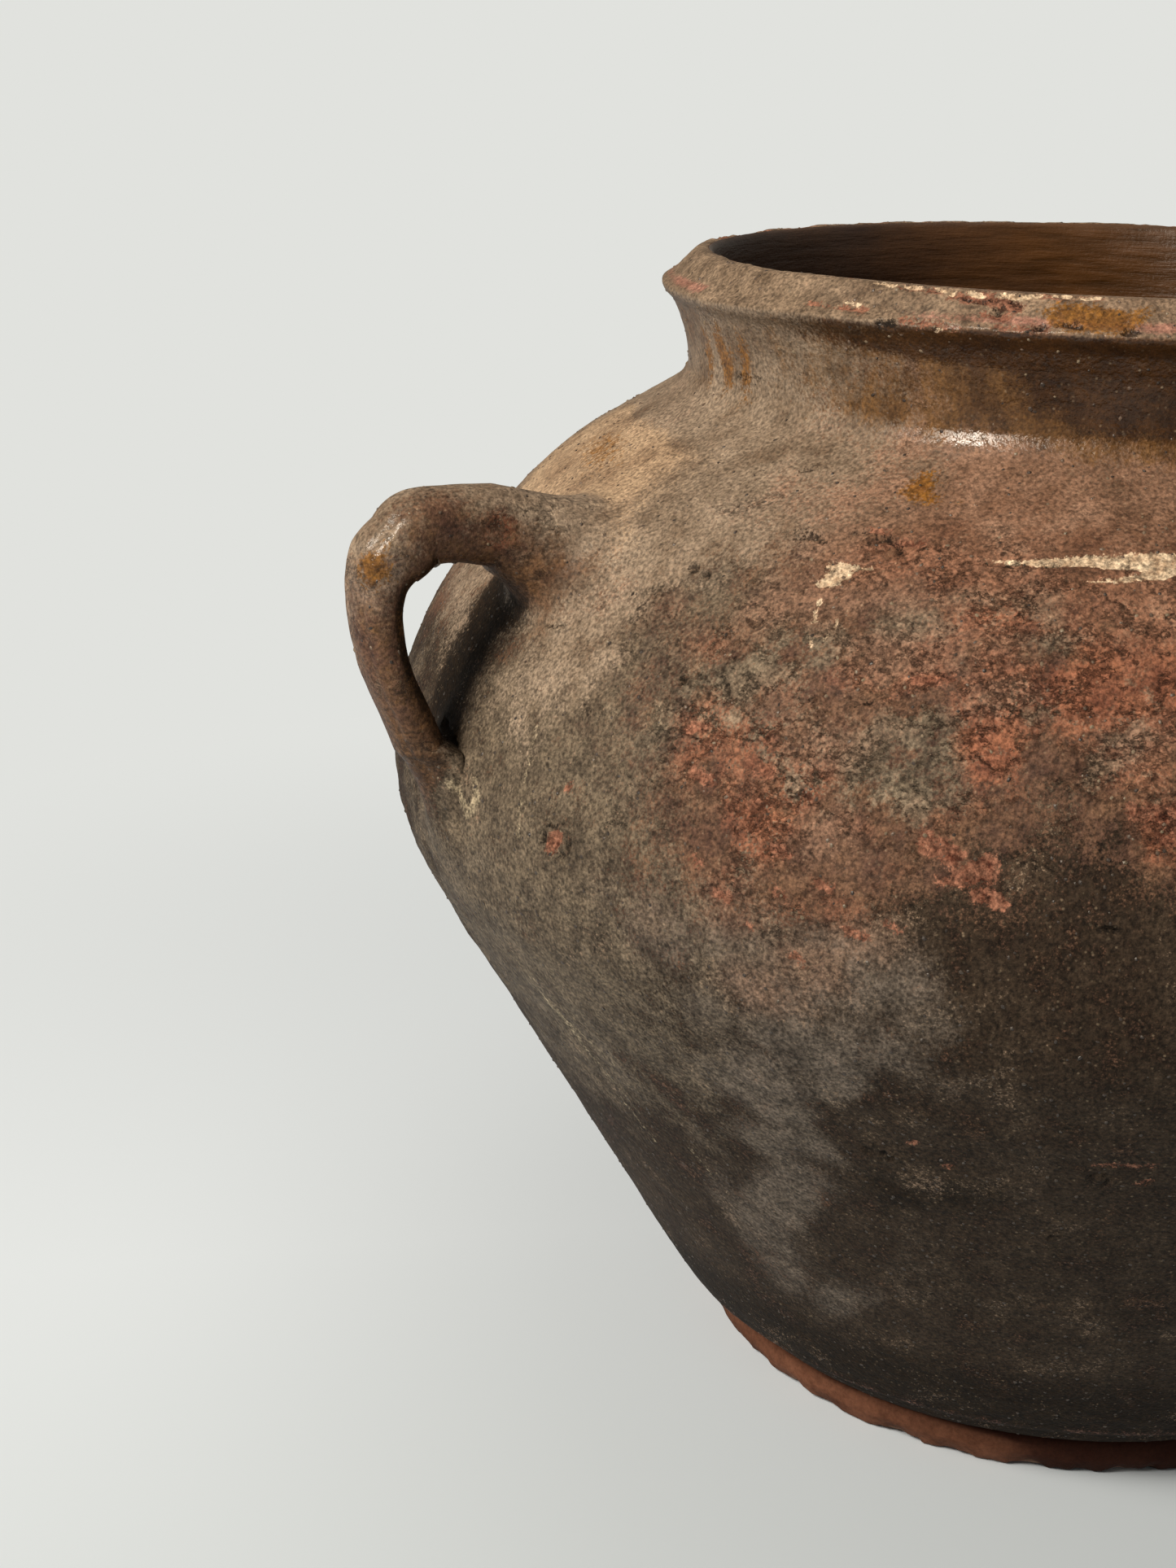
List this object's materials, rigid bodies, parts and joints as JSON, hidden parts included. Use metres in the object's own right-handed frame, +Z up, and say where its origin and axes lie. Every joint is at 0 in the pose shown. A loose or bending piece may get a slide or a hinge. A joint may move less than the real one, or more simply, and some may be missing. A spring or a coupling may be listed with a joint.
{
  "type": "twin-handled urn",
  "caption": "Wide-mouthed earthenware storage urn with a swelling belly, a flanged foot, a bevelled rim band and two strap handles on the shoulder.",
  "frame": {"origin": "centre of the flat underside, on the vessel's turning axis", "axes": "+Z up along the turning axis, out of the mouth; X through both handles, with right_handle at +X; the pictured handle is left_handle at -X, and the picture looks from -X and -Y"},
  "size_m": [0.4242, 0.3794, 0.3],
  "materials": {
    "bare_terracotta": "unglazed, matte",
    "sooted_earthenware": "sooted and sandy, matte",
    "filmed_earthenware": "weathered film over sandy red clay, dull",
    "brown_glaze": "thin brown lead glaze, semi-gloss"
  },
  "bodies": {
    "root": {"floor_disc": "bare_terracotta", "foot_ring": "bare_terracotta", "lower_wall": "sooted_earthenware", "upper_wall": "filmed_earthenware", "neck_collar": "brown_glaze", "rim_band": "filmed_earthenware", "left_handle": "filmed_earthenware", "right_handle": "filmed_earthenware"}
  },
  "joints": []
}
